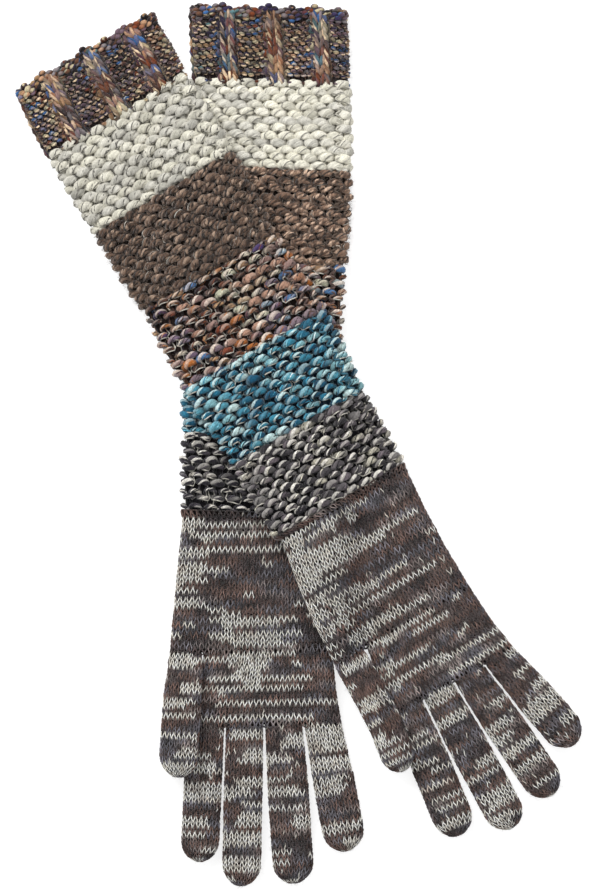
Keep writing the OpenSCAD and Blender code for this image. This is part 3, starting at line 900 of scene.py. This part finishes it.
def white_runs(g, kind, rows, across, pitch):
    """1 where a row's yarn is in one of its white lengths."""
    out = np.zeros(across.shape)
    pools = POOLS.get((g, kind))
    if pools is None:
        pools, v = [], rows[0]
        while v < rows[-1]:
            on, off = rng.uniform(1, 5) * pitch, rng.uniform(0.5, 1.6) * pitch
            if kind == "thumb":
                on, off = on * 0.6, off * 1.3
            elif g == TOP:
                on, off = on * 0.75, off * 1.7
            a = rng.uniform(-1.1, 0.6)
            pools.append((v, v + on, a, a + rng.uniform(0.7, 1.8), 0.8))
            v += on + off
    for v0, v1, u0, u1, share in pools:
        for r in np.nonzero((rows >= v0) & (rows < v1))[0]:
            if rng.uniform() < share:
                a, b = u0 + rng.normal(0, 0.06), u1 + rng.normal(0, 0.10 if share > 0.8 else 0.2)
                out[r] = np.maximum(out[r], (across[r] > a) & (across[r] < b))
    for r in range(len(rows)):
        for _ in range(rng.integers(0, 3)):
            a = rng.uniform(-1, 1)
            out[r] = np.maximum(out[r], (across[r] > a) & (across[r] < a + rng.uniform(0.02, 0.12)))
    return out


def fine_knit(g, kind, s0, s1, skin, wales, last=None):
    """Stocking stitch in a dark yarn and a thin space-dyed one held together, worked towards the fingertips.

    last is the tip of a digit, where the courses crowd together and close it.
    """
    prefix = GLOVES[g]
    q = 10
    count = wales * q
    rows, pitch = course_places(s0, s1, FINE_COURSE)
    if last is not None:
        rows = np.append(rows[rows < last - 2.2], [last - 1.9, last - 0.9, last - 0.35])
    nr = len(rows)
    head = np.full(nr, pitch * 0.99)
    if last is not None:
        head[-3:] = (1.7, 0.9, 0.3)
    p, n, f, s, front, _ = loop_rows(skin, rows, np.ones(wales), q, head[:, None], 0.5, -np.ones(wales),
                                     jitter=0.24, own=0.14, bow=0.285)
    white = white_runs(g, kind, rows, 1 - 2 * f, pitch)
    if kind in ("palm", "hand_heel"):
        white[-1] = 0
    tone = (1 + noise_line(nr, count, wales / 3, 0.12)[..., None]
            + noise_line(nr, count, wales * 2, 0.3)[..., None])
    ca = space_dyed(nr, count, wales / 4, FINE, FINE_W, 0.3) * tone
    spark = (noise_line(nr, count, wales * 1.5, 1) > 2.0) * 0.6
    # painted shade: the stitches' heads lie in shade, so both strands are darker there and their white shows
    # only on the legs
    leg = np.clip((0.45 - front) / 0.8, 0, 1)[..., None]
    pale = white * np.clip(1.0 + noise_line(nr, count, wales * 2, 0.35), 0.1, 1) + spark
    pale = np.clip(pale, 0, 1)[..., None] * leg
    cb = space_dyed(nr, count, wales / 4, FINE, FINE_W, 0.3)
    cb = cb * np.clip(1.6 + noise_line(nr, count, wales * 2, 0.9)[..., None], 0.4, 4)
    cb = cb * (0.4 + 0.6 * leg) * (1 - pale) + WHITE * 1.5 * pale
    ca = ca * (0.9 - 0.4 * pale) * (0.5 + 0.5 * leg)
    small = np.minimum(1.0, skin.girth(s) / wales / 3.1)  # the stitches shrink where a tip narrows
    side, up = side_and_up(p, n)
    b = p + side * (noise_line(nr, count, wales, 0.14) * small)[..., None] + up * 0.34
    radius_a = 0.47 * small * (1 + noise_line(nr, count, wales, 0.07))
    radius_b = 0.31 * small * (1 + noise_line(nr, count, wales, 0.12))
    made = []
    for k, part in enumerate(np.array_split(np.arange(nr), 2 if nr * count > 12000 else 1)):
        piece = Piece()
        piece.tube((p - up * 0.08)[part], n[part], radius_a[part], 5, ca[part], ca[part] * 0.75, 1 / 4, 0.9)
        piece.tube(b[part], n[part], radius_b[part], 4, cb[part], cb[part] * 0.85, 1 / 3, 0.9)
        if k == 0:
            fuzz = linear(FINE + [(190, 184, 178)])
            fibres(piece, skin, int((s1 - s0) * wales * 0.25), s0, s1, 0.8, 2.2, fuzz, 0.045)
        made.append(piece.build(f"{prefix}{kind}_yarn" + ("_2" if k else ""), YARN["fine"]))
    end = s1 if last is None else last - 3.5
    back = liner(f"{prefix}{kind}_fabric", skin, s0, end, -0.55, SHADED_LINING["fine"])
    return (back, *made)


# ---------------------------------------------------------------- build every piece
CUFF_BEND = 14  # this far each way from the cuff's lower end
WRIST_BEND = (4, 24)  # from this far up the sleeve to this far down the hand, round the wrist
KNUCKLE_BEND = 9
FINE_WALES, THUMB_WALES, FINGER_WALES = 54, 17, 16


def point_on(g, u, s, z, hand=False):
    x, y = (on_hand if hand else on_sleeve)(g, float(u), float(s))
    return (x * MM, y * MM, z * MM)


def declare(g, kind):
    """Hides the node's part; the stitches and the layer behind them stand for it."""
    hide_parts(GLOVES[g] + kind)


def attach(objs, body=None, start=None, end=None):
    for o in objs:
        if body:
            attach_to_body(o, body)
        else:
            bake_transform(o)


def make_glove(g):
    prefix = GLOVES[g]
    ends = [r[0] for r in SLEEVE[g]]
    skin = Skin(g, sleeve_station, 0, ends[-1], 3.1)
    rib_skin = Skin(g, sleeve_station, ends[5], ends[-1], 2.1)
    sleeve, hand = ("bottom_glove",) * 2 if g == BOTTOM else ("top_sleeve", "top_hand")
    cuff = prefix + "cuff"
    bend = (point_on(g, 0, ends[5] - CUFF_BEND, 6.5), point_on(g, 0, ends[5] + CUFF_BEND, 6.5))
    wrist = (point_on(g, 0, WRIST_BEND[0], 6.5), point_on(g, 0, WRIST_BEND[1], 6.5, True))
    edge = bind_off(g, ends[-1] - EDGE_LEN, ends[-1], rib_skin)
    declare(g, "bind_off_edge")
    attach(edge, body=cuff)
    for i, kind in enumerate(BANDS):
        s0, s1 = ends[i], ends[i + 1]
        if kind == "cuff":
            s1 -= EDGE_LEN
            made = cuff_knit(g, s0, s1, rib_skin)
        else:
            made = bulky_band(g, kind, s0, s1, skin)
        declare(g, kind)
        if kind in ("cuff", "cream_band"):
            attach(made, start=bend[0], end=bend[1])
        elif kind == "grey_band" and g == TOP:
            attach(made, start=wrist[0], end=wrist[1])
        else:
            attach(made, body=sleeve)
    # the hand
    parts = [
        ("wrist_seam", seam_station, 0, SEAM_LEN, FINE_WALES, None),
        ("hand_heel", lambda g, v: hand_station(g, HEEL[g], v), SEAM_LEN, THUMB_V, FINE_WALES, None),
        ("palm", lambda g, v: hand_station(g, PALM[g], v), THUMB_V, ROOTS_V, FINE_WALES, None),
        ("thumb", thumb_station, THUMB[g][0][0], THUMB[g][-1][0], THUMB_WALES, THUMB[g][-1][0]),
    ]
    for k, name in enumerate(FINGERS):
        station = lambda g, v, k=k: finger_station(g, k, v)
        tip = TIPS[g][k][1]
        parts.append((name + "_base", station, ROOTS_V, KNUCKLE_V, FINGER_WALES, None))
        parts.append((name + "_tip", station, KNUCKLE_V, tip, FINGER_WALES, tip))
    for kind, station, s0, s1, wales, last in parts:
        part_skin = Skin(g, station, s0, s1, 1.3)
        made = fine_knit(g, kind, s0, s1, part_skin, wales, last)
        declare(g, kind)
        finger = kind.split("_")[0]
        if finger in FINGERS:
            i = FINGERS.index(finger)
            root = (PALM[g][3][2] - PALM[g][3][1]) / 4
            ax, bx, by = PALM[g][3][1] + root * (i + 0.5), *TIPS[g][i]
            mid = lambda v: point_on(g, ax + (bx - ax) * (v - ROOTS_V) / (by - ROOTS_V), v, 5, True)
            attach(made, start=mid(KNUCKLE_V - KNUCKLE_BEND),
                   end=mid(KNUCKLE_V + KNUCKLE_BEND))
        elif kind == "thumb":
            attach(made, start=point_on(g, -42, 85, 6, True),
                   end=point_on(g, -43, 103, 8, True))
        elif g == TOP and kind in ("wrist_seam", "hand_heel"):
            attach(made, start=wrist[0], end=wrist[1])
        else:
            attach(made, body=hand)


def side_seam(g):
    """Mattress stitching just inside the sleeve's right edge, and the turned-in edge under it."""
    prefix = GLOVES[g]
    ends = [r[0] for r in SLEEVE[g]]
    skin = Skin(g, sleeve_station, 0, ends[-1], 2.6)
    s = np.arange(2.0, ends[5] - 2, 0.6)
    tones = linear([(84, 80, 82), (60, 112, 132), (104, 84, 78), (98, 82, 70), (206, 202, 188)])
    piece = Piece()
    f0, stitch = 0.045, 4.6
    for off, r, amp in ((1.5, 0.55, 0.008), (-1.6, 1.3, 0.002)):
        f = f0 + amp * np.sin(math.tau * s / stitch)
        o = off + 0.5 * np.cos(4 * math.pi * s / stitch)
        p, n = skin.at(f, s, o)
        c = tones[np.clip(np.searchsorted(ends, s) - 1, 0, 4)][None]
        piece.tube(p[None], n[None], r, 8, c, c * 0.7, 1 / 6, closed=False)
    yarn = piece.build(f"{prefix}side_seam_yarn", YARN["seam"])
    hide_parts(prefix + "side_seam")
    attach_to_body(yarn, "bottom_glove" if g == BOTTOM else "top_sleeve")


for glove in (BOTTOM, TOP):
    make_glove(glove)
    side_seam(glove)


# ---------------------------------------------------------------- floor and backdrop
def make_floor():
    """Pale paper that glows a little, so that hardly a shadow shows on it, as in the photo."""
    n, z = 8.0, -0.0004
    co = np.array([(-n, -n, z), (n, -n, z), (n, n, z), (-n, n, z)], float)
    mat, nt, p = nodes_of("paper")
    noise = new_node(nt, "TexNoise", Scale=300)
    nt.links.new(ramp_node(nt, noise.outputs["Fac"], (0.44,) * 3, (0.46,) * 3), p.inputs["Base Color"])
    p.inputs["Roughness"].default_value = 0.9
    p.inputs["Emission Color"].default_value = (1, 1, 1, 1)
    p.inputs["Emission Strength"].default_value = 0.75
    obj = finish_object("floor", new_mesh("floor", co, np.array([[0, 1, 2, 3]], np.int32)), mat)


make_floor()
world = bpy.data.worlds.new("world")
bpy.context.scene.world = world
world.use_nodes = True
world.node_tree.nodes["Background"].inputs["Color"].default_value = (1, 1, 1, 1)
world.node_tree.nodes["Background"].inputs["Strength"].default_value = 0.55
bpy.context.scene.view_settings.view_transform = "Standard"
